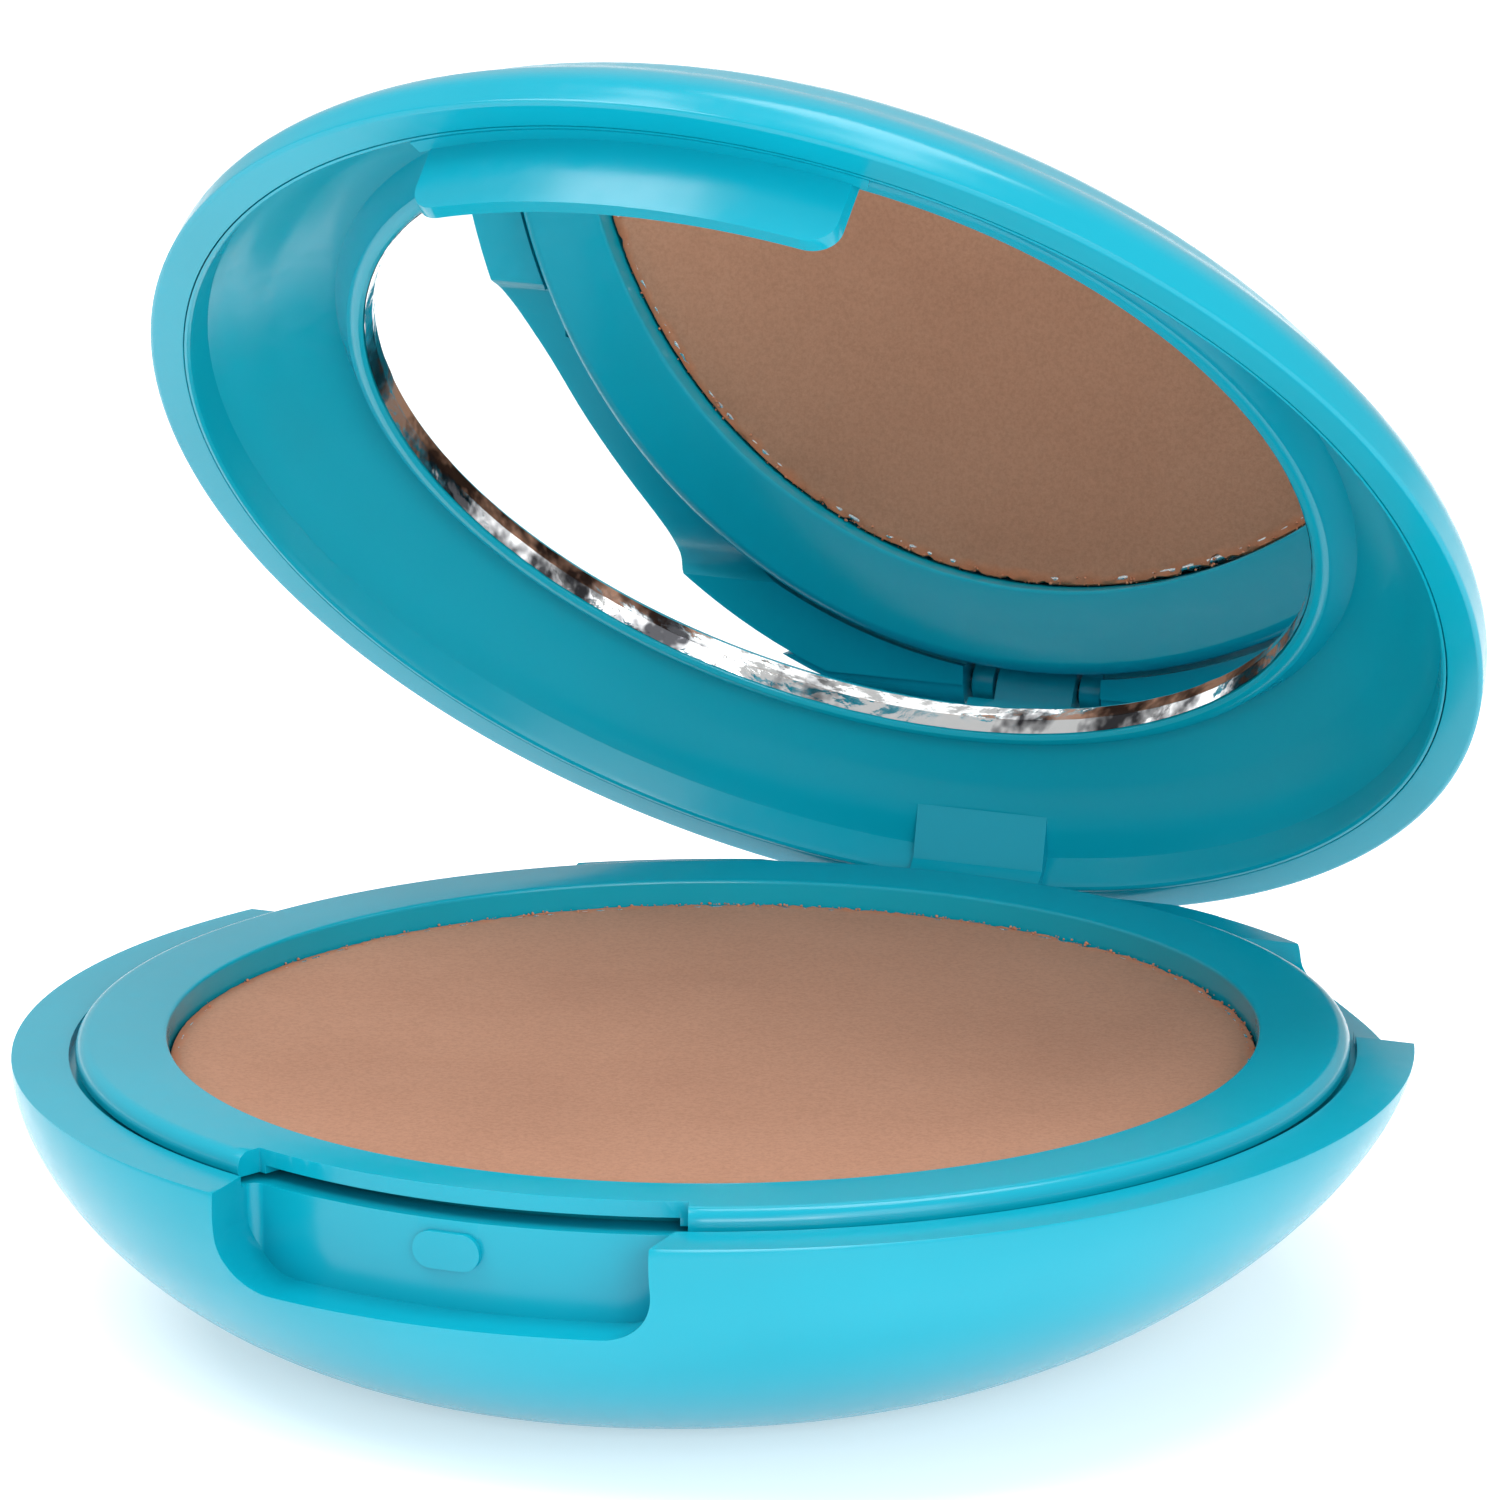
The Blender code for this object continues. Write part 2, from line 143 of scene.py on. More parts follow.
def powder_material():
    m, nt, b, _ = nodes_for("pressed_powder_look")
    vec = coords(nt)
    broad = ramp(nt, noise_tex(nt, 70, 4, 0.55, vec),
                 [(0.25, (0.405, 0.194, 0.118)), (0.5, (0.432, 0.211, 0.129)), (0.8, (0.455, 0.228, 0.142))])
    grain = ramp(nt, noise_tex(nt, 4200, 2, 0.7, vec), [(0.32, (0.80, 0.78, 0.76)), (0.55, (1, 1, 1)), (0.72, (1.10, 1.12, 1.14))])
    mul = nt.nodes.new("ShaderNodeMix")
    mul.data_type, mul.blend_type = "RGBA", "MULTIPLY"
    mul.inputs["Factor"].default_value = 0.6
    nt.links.new(broad, mul.inputs["A"])
    nt.links.new(grain, mul.inputs["B"])
    # the crumbled rim is a warmer, more orange dust
    sep = nt.nodes.new("ShaderNodeSeparateXYZ")
    nt.links.new(vec, sep.inputs[0])
    flat = nt.nodes.new("ShaderNodeCombineXYZ")
    nt.links.new(sep.outputs["X"], flat.inputs["X"])
    nt.links.new(sep.outputs["Y"], flat.inputs["Y"])
    length = nt.nodes.new("ShaderNodeVectorMath")
    length.operation = "LENGTH"
    nt.links.new(flat.outputs[0], length.inputs[0])
    wobble = nt.nodes.new("ShaderNodeMath")
    wobble.operation = "MULTIPLY_ADD"
    nt.links.new(noise_tex(nt, 500, 3, 0.6, vec), wobble.inputs[0])
    wobble.inputs[1].default_value = 0.0012
    nt.links.new(length.outputs["Value"], wobble.inputs[2])
    edge = remap(nt, wobble.outputs[0], 0.0, 0.75, 0.02935, 0.0300)
    mix = nt.nodes.new("ShaderNodeMix")
    mix.data_type = "RGBA"
    nt.links.new(edge, mix.inputs["Factor"])
    nt.links.new(mul.outputs["Result"], mix.inputs["A"])
    mix.inputs["B"].default_value = (0.56, 0.17, 0.07, 1)
    nt.links.new(mix.outputs["Result"], b.inputs["Base Color"])
    b.inputs["Roughness"].default_value = 0.92
    b.inputs["Sheen Weight"].default_value = 0.05
    b.inputs["Sheen Roughness"].default_value = 0.5
    b.inputs["Specular IOR Level"].default_value = 0.25
    n1 = bump(nt, b, noise_tex(nt, 420, 4, 0.6, vec), 0.00006, 0.3)
    bump(nt, b, noise_tex(nt, 3200, 2, 0.7, vec), 0.00003, 0.35, n1)
    return m


def crumb_material():
    m, nt, b, _ = nodes_for("powder_crumb_look")
    col = ramp(nt, noise_tex(nt, 1500, 3), [(0.3, (0.48, 0.15, 0.07)), (0.7, (0.62, 0.28, 0.16))])
    nt.links.new(col, b.inputs["Base Color"])
    b.inputs["Roughness"].default_value = 0.95
    bump(nt, b, noise_tex(nt, 5000, 2), 0.00003, 0.5)
    return m


def metal(name, colour, rough, stretch=(1, 1, 1), scale=2000, amount=0.08, depth=0.00001):
    m, nt, b, _ = nodes_for(name)
    mp = nt.nodes.new("ShaderNodeMapping")
    mp.inputs["Scale"].default_value = stretch
    nt.links.new(coords(nt), mp.inputs["Vector"])
    n = noise_tex(nt, scale, 3, 0.6, mp.outputs[0])
    c = ramp(nt, n, [(0.3, tuple(v * 0.88 for v in colour)), (0.7, colour)])
    nt.links.new(c, b.inputs["Base Color"])
    nt.links.new(remap(nt, n, rough - amount, rough + amount, 0.3, 0.7), b.inputs["Roughness"])
    b.inputs["Metallic"].default_value = 1.0
    bump(nt, b, n, depth, 0.5)
    return m


def silver_edge():
    """Silvering that wraps the glass's edge: bright, with long dark creases whose darkness is a painted reflection
    in its colour.
    """
    m, nt, b, _ = nodes_for("silver_backing_edge")
    vec = coords(nt)
    painted_reflection_streak = noise_tex(nt, 190, 4, 0.62, vec)
    # near-black and bright bands in the colour: painted reflection of the surroundings in the crinkled silver
    c = ramp(nt, painted_reflection_streak, [(0.40, (0.05, 0.05, 0.055)), (0.47, (0.45, 0.45, 0.46)), (0.52, (0.92, 0.92, 0.92)), (0.75, (0.97, 0.97, 0.97))])
    nt.links.new(c, b.inputs["Base Color"])
    nt.links.new(remap(nt, noise_tex(nt, 600, 2, 0.5, vec), 0.05, 0.16, 0.3, 0.7), b.inputs["Roughness"])
    b.inputs["Metallic"].default_value = 1.0
    bump(nt, b, noise_tex(nt, 1100, 3, 0.6, vec), 0.00004, 0.6)
    return m


def mirror_material():
    m, nt, b, _ = nodes_for("silvered_mirror")
    c = ramp(nt, noise_tex(nt, 30, 2), [(0.3, (0.86, 0.88, 0.88)), (0.7, (0.885, 0.90, 0.90))])
    nt.links.new(c, b.inputs["Base Color"])
    nt.links.new(remap(nt, noise_tex(nt, 300, 3), 0.0, 0.015, 0.3, 0.7), b.inputs["Roughness"])
    b.inputs["Metallic"].default_value = 1.0
    return m


def foam_material():
    m, nt, b, _ = nodes_for("latex_foam")
    v = nt.nodes.new("ShaderNodeTexVoronoi")
    v.inputs["Scale"].default_value = 1900
    nt.links.new(coords(nt), v.inputs["Vector"])
    # the ramp darkens the foam towards the centre of each pit: painted shade in the pores
    c = ramp(nt, v.outputs["Distance"], [(0.0, (0.60, 0.44, 0.32)), (0.35, (0.84, 0.68, 0.53)), (0.9, (0.88, 0.73, 0.58))])
    nt.links.new(c, b.inputs["Base Color"])
    b.inputs["Roughness"].default_value = 0.95
    b.inputs["Subsurface Weight"].default_value = 0.1
    b.inputs["Subsurface Scale"].default_value = 0.001
    bump(nt, b, v.outputs["Distance"], 0.00012, 0.6)
    return m


def tape_material():
    m, nt, b, _ = nodes_for("adhesive_tape")
    c = ramp(nt, noise_tex(nt, 260, 3), [(0.3, (0.78, 0.76, 0.66)), (0.7, (0.88, 0.86, 0.78))])
    nt.links.new(c, b.inputs["Base Color"])
    b.inputs["Roughness"].default_value = 0.55
    bump(nt, b, noise_tex(nt, 900, 2), 0.00002, 0.4)
    return m


def floor_material():
    m, nt, b, _ = nodes_for("white_floor")
    c = ramp(nt, noise_tex(nt, 3, 2), [(0.3, (0.84, 0.84, 0.84)), (0.7, (0.86, 0.86, 0.86))])
    nt.links.new(c, b.inputs["Base Color"])
    b.inputs["Roughness"].default_value = 0.6
    b.inputs["Specular IOR Level"].default_value = 0.2
    b.inputs["Emission Color"].default_value = (1, 1, 1, 1)
    b.inputs["Emission Strength"].default_value = 0.42
    return m


TEAL = teal_plastic("teal_moulding")
TEAL_LID = teal_plastic("teal_lid_shell", 0.19)
POWDER, CRUMB = powder_material(), crumb_material()
STEEL = metal("drawn_steel", (0.62, 0.62, 0.64), 0.28, (1, 30, 30))
ALU = metal("pressed_aluminium", (0.86, 0.86, 0.87), 0.26)
SILVER = silver_edge()
MIRROR, FOAM, TAPE = mirror_material(), foam_material(), tape_material()


# ---------------------------------------------------------------- mesh helpers
def obj_from(name, bm, place, mat=None, helper=False):
    """Takes a bmesh in millimetres and puts it in the row frame, in metres."""
    bmesh.ops.remove_doubles(bm, verts=bm.verts, dist=1e-5)
    bmesh.ops.recalc_face_normals(bm, faces=bm.faces)
    bmesh.ops.transform(bm, matrix=place, verts=bm.verts)
    mesh = bpy.data.meshes.new(name)
    bm.to_mesh(mesh)
    bm.free()
    o = bpy.data.objects.new(name, mesh)
    bpy.context.scene.collection.objects.link(o)
    if mat:
        mesh.materials.append(mat)
    if helper:
        TOOLS.append(o)
        o.hide_render = True
    return o


TOOLS = []


def loft(rings, seg=SEG):
    bm = bmesh.new()
    loops = []
    for r, z, s in rings:
        if r <= 0:
            loops.append([bm.verts.new((0, s, z))])
            continue
        loops.append([bm.verts.new((r * math.cos(2 * math.pi * (k + 0.5) / seg), s + r * math.sin(2 * math.pi * (k + 0.5) / seg), z))
                      for k in range(seg)])
    for a, b in zip(loops, loops[1:] + loops[:1]):
        if len(a) == 1 and len(b) == 1:
            continue
        for k in range(seg):
            j = (k + 1) % seg
            if len(a) == 1:
                bm.faces.new((a[0], b[k], b[j]))
            elif len(b) == 1:
                bm.faces.new((a[k], b[0], a[j]))
            else:
                bm.faces.new((a[k], b[k], b[j], a[j]))
    return bm


def turned(profile, seg=SEG):
    return loft([(r, z, 0.0) for r, z in profile], seg)


def prism(points, axis, low, high):
    place = {"X": lambda a, b, c: (c, a, b), "Y": lambda a, b, c: (a, c, b), "Z": lambda a, b, c: (a, b, c)}[axis]
    bm = bmesh.new()
    face = bm.faces.new([bm.verts.new(place(a, b, low)) for a, b in points])
    top = bmesh.ops.extrude_face_region(bm, geom=[face])
    moved = [v for v in top["geom"] if isinstance(v, bmesh.types.BMVert)]
    bmesh.ops.translate(bm, vec=place(0, 0, high - low), verts=moved)
    return bm


def arc(cx, cy, r, start, end, steps):
    return [(cx + r * math.cos(math.radians(start + (end - start) * k / steps)),
             cy + r * math.sin(math.radians(start + (end - start) * k / steps))) for k in range(steps + 1)]


def rod(radius, x0, x1, y, z, seg=40):
    return prism(arc(y, z, radius, 0, 360 - 360 / seg, seg - 1), "X", x0, x1)


def sector(r0, r1, half_deg, z0, z1, steps=40):
    return prism(arc(0, 0, r0, -90 - half_deg, -90 + half_deg, steps) + arc(0, 0, r1, -90 + half_deg, -90 - half_deg, steps), "Z", z0, z1)


def combine(o, other, how):
    mod = o.modifiers.new(how.lower(), "BOOLEAN")
    mod.operation, mod.object, mod.solver = how, other, "MANIFOLD"
    return o


def settle(o, width=0.00018, segments=3, angle=28):
    """Applies the cuts, rounds every edge a little as moulded plastic has, and fixes the shading."""
    if width:
        b = o.modifiers.new("edges", "BEVEL")
        b.width, b.segments, b.limit_method, b.angle_limit = width, segments, "ANGLE", math.radians(angle)
        b.use_clamp_overlap = True
        b.miter_outer = "MITER_ARC"
    bpy.context.view_layer.update()
    mesh = bpy.data.meshes.new_from_object(o.evaluated_get(bpy.context.evaluated_depsgraph_get()))
    o.modifiers.clear()
    o.data = mesh
    mesh.shade_smooth()
    mesh.set_sharp_from_angle(angle=math.radians(50))
    w = o.modifiers.new("normals", "WEIGHTED_NORMAL")
    w.keep_sharp = True
    bpy.context.view_layer.update()
    mesh = bpy.data.meshes.new_from_object(o.evaluated_get(bpy.context.evaluated_depsgraph_get()))
    o.modifiers.clear()
    o.data = mesh
    return o


def smooth_curve(points, per=6):
    """A smooth line through the points (centripetal-like Catmull-Rom), ends kept."""
    P = [points[0]] + list(points) + [points[-1]]
    out = []
    for i in range(1, len(P) - 2):
        p0, p1, p2, p3 = (np.array(p, float) for p in P[i - 1:i + 3])
        d = max(np.hypot(*(p2 - p1)), 1e-6)
        m1 = (p2 - p0) / max(np.hypot(*(p2 - p1)) + np.hypot(*(p1 - p0)), 1e-6) * d
        m2 = (p3 - p1) / max(np.hypot(*(p3 - p2)) + np.hypot(*(p2 - p1)), 1e-6) * d
        for k in range(per):
            t = k / per
            out.append(tuple((2 * t**3 - 3 * t**2 + 1) * p1 + (t**3 - 2 * t**2 + t) * m1 + (-2 * t**3 + 3 * t**2) * p2 + (t**3 - t**2) * m2))
    out.append(tuple(map(float, points[-1])))
    return out


def offset_in(curve, distance):
    out = []
    for k, (r, z) in enumerate(curve):
        a, b = curve[max(k - 1, 0)], curve[min(k + 1, len(curve) - 1)]
        tr, tz = b[0] - a[0], b[1] - a[1]
        ln = math.hypot(tr, tz)
        nr, nz = -tz / ln, tr / ln
        if k == 0:
            nr, nz = 0.0, 1.0
        if k == len(curve) - 1:
            nr, nz = 1.0, 0.0
        out.append((r - nr * distance, z - nz * distance))
    return out


def ride(o, body, node=None):
    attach(o, body)
    if node:
        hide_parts(node)
    return o


# ---------------------------------------------------------------- base
R_RIM, DEPTH, FOOT_R, POWER, FOOT_SHIFT = 38.0, 14.3, 17.8, 1.556, -4.73
SEAT_R, SEAT_Z, WELL_R, WELL_FLOOR = 34.9, -0.6, 31.2, -12.7


def bowl(z):
    w = min(max(-z / DEPTH, 0.0), 1.0)
    s = w ** (POWER / 2)
    return FOOT_R + (R_RIM - FOOT_R) * math.sqrt(max(1 - s * s, 0.0)) ** (2 / POWER), FOOT_SHIFT * w


outer = []
for k in range(45):
    t = math.radians(90 * k / 44)
    w = math.sin(t) ** (2 / POWER)
    outer.append((FOOT_R + (R_RIM - FOOT_R) * max(math.cos(t), 0) ** (2 / POWER), -DEPTH * w, FOOT_SHIFT * w))
outer[0] = (R_RIM, 0.0, 0.0)
rings = [(0, -DEPTH, FOOT_SHIFT), (14.0, -DEPTH, FOOT_SHIFT), (14.6, -DEPTH + 0.25, FOOT_SHIFT), (15.3, -DEPTH + 0.25, FOOT_SHIFT), (15.9, -DEPTH, FOOT_SHIFT)]
rings += outer[::-1]
rings += [(SEAT_R, 0, 0), (SEAT_R, SEAT_Z, 0), (WELL_R, SEAT_Z, 0), (WELL_R, -5.0, 0)]
for z in (-5.8, -7.0, -8.2, -9.4, -10.4, -11.3, -12.0):
    r, s = bowl(z)
    rings.append((min(r - 2.0, WELL_R - 0.6), z, s))
r, s = bowl(WELL_FLOOR)
rings += [(r - 2.6, WELL_FLOOR + 0.15, s), (r - 3.4, WELL_FLOOR, s), (0, WELL_FLOOR, s)]
base = obj_from("base_moulding", loft(rings), PLACE_BASE, TEAL)

boss_profile = [(35.0, HINGE_Z + 1.9)] + arc(HINGE_Y, HINGE_Z, 1.9, 90, -50, 22)
boss_profile += [(35.4, -4.55), (33.5, -5.6), (31.8, -6.3), (31.7, -3.2), (35.0, -2.4)]
boss = obj_from("boss_t", prism(boss_profile, "X", -18.6, 18.6), PLACE_BASE, TEAL, True)
combine(boss, obj_from("boss_trim", turned([(0, 2), (38.4, 2), (38.4, -3.6), (36.6, -5.0), (33.4, -7.4), (0, -7.4)]), PLACE_BASE, TEAL, True), "INTERSECT")
combine(base, boss, "UNION")
relief = [(HINGE_Y, 1.5)] + arc(HINGE_Y, HINGE_Z, 1.9, 90, 0, 18) + [(41, HINGE_Z), (41, 1.5)]
combine(base, obj_from("relief", prism(relief, "X", -14.2, 14.2), PLACE_BASE, TEAL, True), "DIFFERENCE")
combine(base, obj_from("notch", prism([(30.0, 2), (30.0, -3.7), (33.6, -4.7), (41, -4.7), (41, 2)], "X", -4.3, 4.3), PLACE_BASE, TEAL, True), "DIFFERENCE")
combine(base, obj_from("pin_bore", rod(0.8, -7.9, 21, HINGE_Y, HINGE_Z), PLACE_BASE, TEAL, True), "DIFFERENCE")

scoop = [(14.55, 2)] + smooth_curve([(14.55, 0.0), (15.1, -0.6), (16.6, -1.25), (19.2, -1.75), (22.4, -1.82), (25.5, -1.75), (28.2, -1.5), (29.8, -0.95), (30.9, 0.05)], 5) + [(30.9, 2)]
keep = obj_from("scoop_keep", turned([(0, 4), (SEAT_R, 4), (SEAT_R, -6), (0, -6)]), PLACE_BASE, TEAL, True)
for side in (-1, 1):
    tool = obj_from(f"scoop_{side + 1}", prism(scoop, "X", min(side * 12, side * 45), max(side * 12, side * 45)), PLACE_BASE, TEAL, True)
    combine(tool, keep, "DIFFERENCE")
    combine(base, tool, "DIFFERENCE")

RECESS_R, RHALF, RFLOOR, RC = 33.63, 12.4, -5.36, 3.0
RF = 0.6
fx = RHALF - RF
fy = -math.sqrt((RECESS_R + RF) ** 2 - fx ** 2)
half = math.degrees(math.asin(fx / (RECESS_R + RF)))
fillet = arc(fx, fy, RF, 90 + half, 0, 14)[1:]
plan = arc(0, 0, RECESS_R, -90 - half, -90 + half, 40) + fillet
plan += [(RHALF, -46), (-RHALF, -46)] + [(-x, y) for x, y in fillet[::-1]]
recess = obj_from("recess", prism(plan, "Z", RFLOOR - 0.7, 3), PLACE_BASE, TEAL, True)
FW = RHALF - 0.02
face = arc(-FW + RC, RFLOOR + RC, RC, 180, 270, 14) + arc(FW - RC, RFLOOR + RC, RC, -90, 0, 14)
face += [(FW, 4), (-FW, 4)]
combine(recess, obj_from("recess_face", prism(face, "Y", -50, -20), PLACE_BASE, TEAL, True), "INTERSECT")
combine(base, recess, "DIFFERENCE")
pip = arc(-0.9, -2.2, 1.0, 90, 270, 14) + arc(0.9, -2.2, 1.0, -90, 90, 14)
combine(base, obj_from("pip", prism(pip, "Y", -(RECESS_R + 0.34), -32.4), PLACE_BASE, TEAL, True), "UNION")
settle(base)
ride(base, "base", "base_shell")

# the sponge: a soft crowned pad with a slightly uneven, rolled edge
_, s = bowl(-11.0)
SR, SZ0, ST = 20.95, -12.48, 3.25
bm = bmesh.new()
prof = [(0.0, 1.0), (0.35, 0.995), (0.62, 0.98), (0.82, 0.95), (0.92, 0.89), (0.968, 0.80), (0.992, 0.66), (1.0, 0.5), (0.993, 0.32), (0.972, 0.16), (0.93, 0.05), (0.84, 0.0), (0.5, 0.0), (0.0, 0.0)]
loops = []
for q, h in prof:
    if q == 0:
        loops.append([bm.verts.new((0, s, SZ0 + ST * h))])
        continue
    ring = []
    for k in range(128):
        a = 2 * math.pi * k / 128
        n = noise.noise(Vector((math.cos(a) * 2.2 * q, math.sin(a) * 2.2 * q, h * 2)))
        rr = SR * q * (1 - 0.012 * abs(n))
        zz = SZ0 + ST * h - (0.12 * abs(n) if h > 0.5 else 0)
        ring.append(bm.verts.new((rr * math.cos(a), s + rr * math.sin(a), zz)))
    loops.append(ring)
for a, b in zip(loops, loops[1:]):
    for k in range(128):
        j = (k + 1) % 128
        if len(a) == 1:
            bm.faces.new((a[0], b[k], b[j]))
        elif len(b) == 1:
            bm.faces.new((a[k], b[0], a[j]))
        else:
            bm.faces.new((a[k], b[k], b[j], a[j]))
sponge = obj_from("foam_sponge", bm, PLACE_BASE, FOAM)
sponge.data.shade_smooth()
ride(sponge, "base", "sponge")

# ---------------------------------------------------------------- tray
TRAY_R, TOP, UNDER, HOLE, FLOOR, BOTTOM, BODY = 34.53, 1.03, -0.3, 29.55, -3.95, -4.75, 30.8
tray_profile = [(0, FLOOR), (HOLE, FLOOR), (HOLE, TOP - 0.22), (HOLE + 0.07, TOP - 0.08), (HOLE + 0.25, TOP)]
tray_profile += [(31.6, TOP + 0.03), (33.3, TOP)] + arc(33.55, 0.1, 0.98, 75, 0, 12)[0:0]
tray_profile += [(33.75 + 0.78 * math.sin(math.radians(a)), 0.2 + (TOP - 0.2) * math.cos(math.radians(a))) for a in range(0, 91, 9)]
tray_profile += [(TRAY_R, UNDER + 0.2), (TRAY_R - 0.2, UNDER), (BODY, UNDER), (BODY, BOTTOM + 0.3), (BODY - 0.3, BOTTOM), (0, BOTTOM)]
tray = obj_from("tray_ring", turned(tray_profile), PLACE_BASE, TEAL)
for nm, tool in (("slot_edge", sector(33.0, 40, 21.8, -2, 3)), ("slot_under", sector(31.6, 40, 21.0, -2, 0.15))):
    combine(tray, obj_from(nm, tool, PLACE_BASE, TEAL, True), "DIFFERENCE")
for side in (-1, 1):
    x0, x1 = sorted((side * 2.7, side * 4.0))
    ear = [(30.2, -1.2)] + [(HINGE_Y + 1.35 * math.sin(math.radians(a)), HINGE_Z + 1.35 * math.cos(math.radians(a))) for a in range(-50, 200, 10)]
    ear += [(33.2, -3.3), (30.2, -3.6)]
    combine(tray, obj_from(f"ear_{side + 1}", prism(ear, "X", x0, x1), PLACE_BASE, TEAL, True), "UNION")
combine(tray, obj_from("ear_bore", rod(0.8, -6, 6, HINGE_Y, HINGE_Z), PLACE_BASE, TEAL, True), "DIFFERENCE")
settle(tray, 0.00014)
ride(tray, "tray", "powder_tray")

pan = obj_from("pan_pressing", turned([(0, -3.7), (28.7, -3.7), (29.0, -3.62), (29.2, -3.4), (29.25, -3.1), (29.25, -0.5), (29.18, -0.42), (29.02, -0.4), (28.9, -0.5), (28.85, -0.62), (28.85, -3.25), (0, -3.3)]), PLACE_BASE, ALU)
pan.data.shade_smooth()
pan.data.set_sharp_from_angle(angle=math.radians(50))
ride(pan, "tray", "pan")


def rag(a):
    """How far the powder's edge has crumbled back at angle a, 0 to 1. It is worst at the back."""
    p = Vector((math.cos(a) * 9, math.sin(a) * 9, 3.1))
    v = noise.noise(p) * 0.6 + noise.noise(p * 4.1) * 0.4 + noise.noise(p * 11) * 0.25
    back = 0.5 + 0.5 * math.sin(a)
    return max(0.0, min(1.0, (v - 0.16) * 2.0)) * (0.06 + 0.94 * back ** 2)


bm = bmesh.new()
SEGP = 480
radii = [0, 2, 5, 8, 11, 14, 17, 20, 22.5, 24.5, 26, 27, 27.7, 28.2, 28.55, 28.8, 29.0, 29.15, 29.36, 29.48]
loops = []
for ri, rr in enumerate(radii):
    if rr == 0:
        loops.append([bm.verts.new((0, 0, -0.34))])
        continue
    ring = []
    for k in range(SEGP):
        a = 2 * math.pi * k / SEGP
        g = rag(a)
        x = rr if rr < 27.7 else 27.7 + (rr - 27.7) * (1 - 0.36 * g)
        n = noise.noise(Vector((x * math.cos(a) * 0.35, x * math.sin(a) * 0.35, 7.0)))
        f = noise.noise(Vector((x * math.cos(a) * 2.6, x * math.sin(a) * 2.6, 1.0)))
        rough = 0.0 if rr < 27 else (rr - 27) / 2.3
        z = -0.34 - 0.05 * (rr / 29) ** 4 + 0.018 * n + (0.05 + 0.07 * max(math.sin(a), 0)) * rough * f
        if ri == len(radii) - 1:
            z = -0.62
            x -= 0.02
        ring.append(bm.verts.new((x * math.cos(a), x * math.sin(a), z)))
    loops.append(ring)
ring = [bm.verts.new((28.82 * math.cos(2 * math.pi * k / SEGP), 28.82 * math.sin(2 * math.pi * k / SEGP), -0.7)) for k in range(SEGP)]
loops.append(ring)
loops.append([bm.verts.new((28.82 * math.cos(2 * math.pi * k / SEGP), 28.82 * math.sin(2 * math.pi * k / SEGP), -3.2)) for k in range(SEGP)])
loops.append([bm.verts.new((0, 0, -3.2))])
for a, b in zip(loops, loops[1:]):
    for k in range(SEGP):
        j = (k + 1) % SEGP
        if len(a) == 1:
            bm.faces.new((a[0], b[k], b[j]))
        elif len(b) == 1:
            bm.faces.new((a[k], b[0], a[j]))
        else:
            bm.faces.new((a[k], b[k], b[j], a[j]))
cake = obj_from("powder_surface", bm, PLACE_BASE, POWDER)
cake.data.shade_smooth()
cake.data.set_sharp_from_angle(angle=math.radians(50))
ride(cake, "tray", "powder_cake")

# loose crumbs of powder along the edge, most of them at the back
rng = random.Random(11)
bm = bmesh.new()
for _ in range(260):
    a = rng.gauss(math.pi / 2, 0.75)
    rr = 29.45 - abs(rng.gauss(0, 0.22))
    size = 0.03 + 0.07 * rng.random() ** 3
    made = bmesh.ops.create_icosphere(bm, subdivisions=1, radius=size)
    for v in made["verts"]:
        v.co *= 0.8 + 0.4 * rng.random()
        v.co += Vector((rr * math.cos(a), rr * math.sin(a), -0.36 + size * 0.5))
crumbs = obj_from("powder_crumbs", bm, PLACE_BASE, CRUMB)
crumbs.data.shade_smooth()
ride(crumbs, "tray", None)

# ---------------------------------------------------------------- lid
DOME = [(0, 12.2), (11.4, 11.9), (19, 11.25), (24.7, 10.2), (28.0, 9.2), (30.4, 8.2), (33.4, 6.3),
        (35.3, 4.6), (36.3, 3.8), (37.1, 3.04), (37.85, 1.9), (38.02, 0.8), (38.08, 0.0)]
dome = [(r, z + GAP) for r, z in smooth_curve(DOME, 5)]
inner = [p for p in offset_in(dome, 1.0) if p[1] > 2.2 + GAP or p[0] < 30]
shell_profile = dome[:-1] + [(38.06, GAP + 0.15), (37.95, GAP + 0.03), (37.8, GAP)] + [(36.16, GAP), (36.1, GAP + 0.06), (36.1, inner[-1][1] * 0.55)] + inner[::-1]
shell = obj_from("lid_dome", turned(shell_profile), PLACE_LID, TEAL_LID)
settle(shell, 0)
ride(shell, "lid", "lid_shell")

MF, MT = 4.95 + GAP, 2.0
back = [p for p in offset_in(dome, 1.35) if 28.2 < p[0] < 35.4 and p[1] > 1.6]
front = [p for p in offset_in(dome, 2.2) if 29.2 < p[0] < 35.3 and p[1] > 1.2]
seat = MF + MT + 0.45
fp = [(0, seat), (27.25, seat), (27.25, 4.95 + GAP - 0.2), (27.3, 4.55 + GAP + 0.16), (27.45, 4.55 + GAP + 0.03), (27.7, 4.55 + GAP), (27.95, 4.55 + GAP + 0.05), (28.2, 4.55 + GAP + 0.2), (28.32, 4.55 + GAP + 0.45)]
fp += front + [(36.05 - 0.4, GAP + 0.42), (36.05 - 0.3, GAP + 0.12), (36.05 - 0.15, GAP), (36.05, GAP), (36.05, 1.5)]
fp += back[::-1] + [(27.6, seat + 0.62), (25.5, seat + 0.8), (0, seat + 0.8)]
lidf = obj_from("lid_liner", turned(fp), PLACE_LID, TEAL)
FH, FB, FC = 12.1, -4.07 + GAP, 1.7
fhalf = math.degrees(math.asin(FH / 34.96))
flap = obj_from("flap", sector(34.06, 34.96, fhalf + 4, FB, 2.45), PLACE_LID, TEAL, True)
shape = arc(-FH + FC, FB + FC, FC, 180, 270, 14) + arc(FH - FC, FB + FC, FC, -90, 0, 14)
